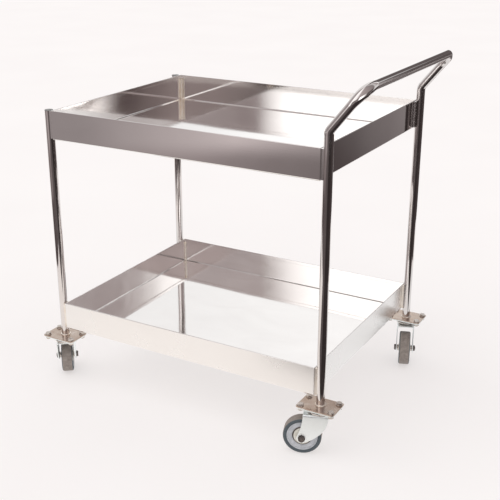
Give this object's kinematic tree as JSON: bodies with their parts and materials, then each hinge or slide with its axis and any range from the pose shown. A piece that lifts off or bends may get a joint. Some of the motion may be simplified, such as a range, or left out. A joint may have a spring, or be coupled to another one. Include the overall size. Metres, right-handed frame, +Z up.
{
  "type": "instrument cart",
  "caption": "Stainless instrument cart: two deep open trays on round tube legs, a raised push handle at one short end, and swivel casters.",
  "frame": {"origin": "on the floor under the middle of the trays, at the bottom of the tyres", "axes": "+X along the long side towards the push handle, +Y across to the back, +Z up"},
  "size_m": [0.959, 0.687, 0.911],
  "materials": {
    "tray_steel": "satin sheet with polished floors",
    "tube_steel": "polished stainless tube",
    "plate_steel": "plain rolled plate",
    "bolt_zinc": "zinc plated",
    "fork_zinc": "bright zinc plated pressing",
    "axle_steel": "dark zinc",
    "wheel_plastic": "moulded light grey plastic",
    "tyre_rubber": "matte grey rubber",
    "cap_plastic": "satin"
  },
  "bodies": {
    "frame": {"top_tray": "tray_steel", "bottom_tray": "tray_steel", "leg_front_left": "tube_steel", "leg_front_right": "tube_steel", "leg_back_left": "tube_steel", "leg_back_right": "tube_steel", "leg_cap_front_left": "cap_plastic", "leg_cap_back_left": "cap_plastic", "push_handle": "tube_steel", "foot_plate_front_left": "plate_steel", "caster_plate_front_left": "plate_steel", "kingpin_front_left": "axle_steel", "plate_bolt_front_left_1": "bolt_zinc", "plate_bolt_front_left_2": "bolt_zinc", "plate_bolt_front_left_3": "bolt_zinc", "plate_bolt_front_left_4": "bolt_zinc", "foot_plate_front_right": "plate_steel", "caster_plate_front_right": "plate_steel", "kingpin_front_right": "axle_steel", "plate_bolt_front_right_1": "bolt_zinc", "plate_bolt_front_right_2": "bolt_zinc", "plate_bolt_front_right_3": "bolt_zinc", "plate_bolt_front_right_4": "bolt_zinc", "foot_plate_back_left": "plate_steel", "caster_plate_back_left": "plate_steel", "kingpin_back_left": "axle_steel", "plate_bolt_back_left_1": "bolt_zinc", "plate_bolt_back_left_2": "bolt_zinc", "plate_bolt_back_left_3": "bolt_zinc", "plate_bolt_back_left_4": "bolt_zinc", "foot_plate_back_right": "plate_steel", "caster_plate_back_right": "plate_steel", "kingpin_back_right": "axle_steel", "plate_bolt_back_right_1": "bolt_zinc", "plate_bolt_back_right_2": "bolt_zinc", "plate_bolt_back_right_3": "bolt_zinc", "plate_bolt_back_right_4": "bolt_zinc"},
    "caster_front_left": {"fork_front_left": "fork_zinc", "axle_bolt_front_left": "axle_steel", "axle_nut_front_left": "axle_steel"},
    "wheel_front_left": {"wheel_core_front_left": "wheel_plastic", "tyre_front_left": "tyre_rubber"},
    "caster_front_right": {"fork_front_right": "fork_zinc", "axle_bolt_front_right": "axle_steel", "axle_nut_front_right": "axle_steel"},
    "wheel_front_right": {"wheel_core_front_right": "wheel_plastic", "tyre_front_right": "tyre_rubber"},
    "caster_back_left": {"fork_back_left": "fork_zinc", "axle_bolt_back_left": "axle_steel", "axle_nut_back_left": "axle_steel"},
    "wheel_back_left": {"wheel_core_back_left": "wheel_plastic", "tyre_back_left": "tyre_rubber"},
    "caster_back_right": {"fork_back_right": "fork_zinc", "axle_bolt_back_right": "axle_steel", "axle_nut_back_right": "axle_steel"},
    "wheel_back_right": {"wheel_core_back_right": "wheel_plastic", "tyre_back_right": "tyre_rubber"}
  },
  "joints": [
    {"name": "swivel_front_left", "type": "hinge", "parent": "frame", "child": "caster_front_left", "pos_m": [-0.3935, -0.293, 0.1148], "axis": [0, 0, 1], "continuous": true},
    {"name": "roll_front_left", "type": "hinge", "parent": "caster_front_left", "child": "wheel_front_left", "pos_m": [-0.41813, -0.26148, 0.0475], "axis": [-0.788, -0.6157, 0], "continuous": true},
    {"name": "swivel_front_right", "type": "hinge", "parent": "frame", "child": "caster_front_right", "pos_m": [0.3935, -0.293, 0.1148], "axis": [0, 0, 1], "continuous": true},
    {"name": "roll_front_right", "type": "hinge", "parent": "caster_front_right", "child": "wheel_front_right", "pos_m": [0.35591, -0.30668, 0.0475], "axis": [0.342, -0.9397, 0], "continuous": true},
    {"name": "swivel_back_left", "type": "hinge", "parent": "frame", "child": "caster_back_left", "pos_m": [-0.3935, 0.293, 0.1148], "axis": [0, 0, 1], "continuous": true},
    {"name": "roll_back_left", "type": "hinge", "parent": "caster_back_left", "child": "wheel_back_left", "pos_m": [-0.42814, 0.313, 0.0475], "axis": [-0.5, -0.866, 0], "continuous": true},
    {"name": "swivel_back_right", "type": "hinge", "parent": "frame", "child": "caster_back_right", "pos_m": [0.3935, 0.293, 0.1148], "axis": [0, 0, 1], "continuous": true},
    {"name": "roll_back_right", "type": "hinge", "parent": "caster_back_right", "child": "wheel_back_right", "pos_m": [0.40718, 0.25541, 0.0475], "axis": [0.9397, 0.342, 0], "continuous": true}
  ]
}
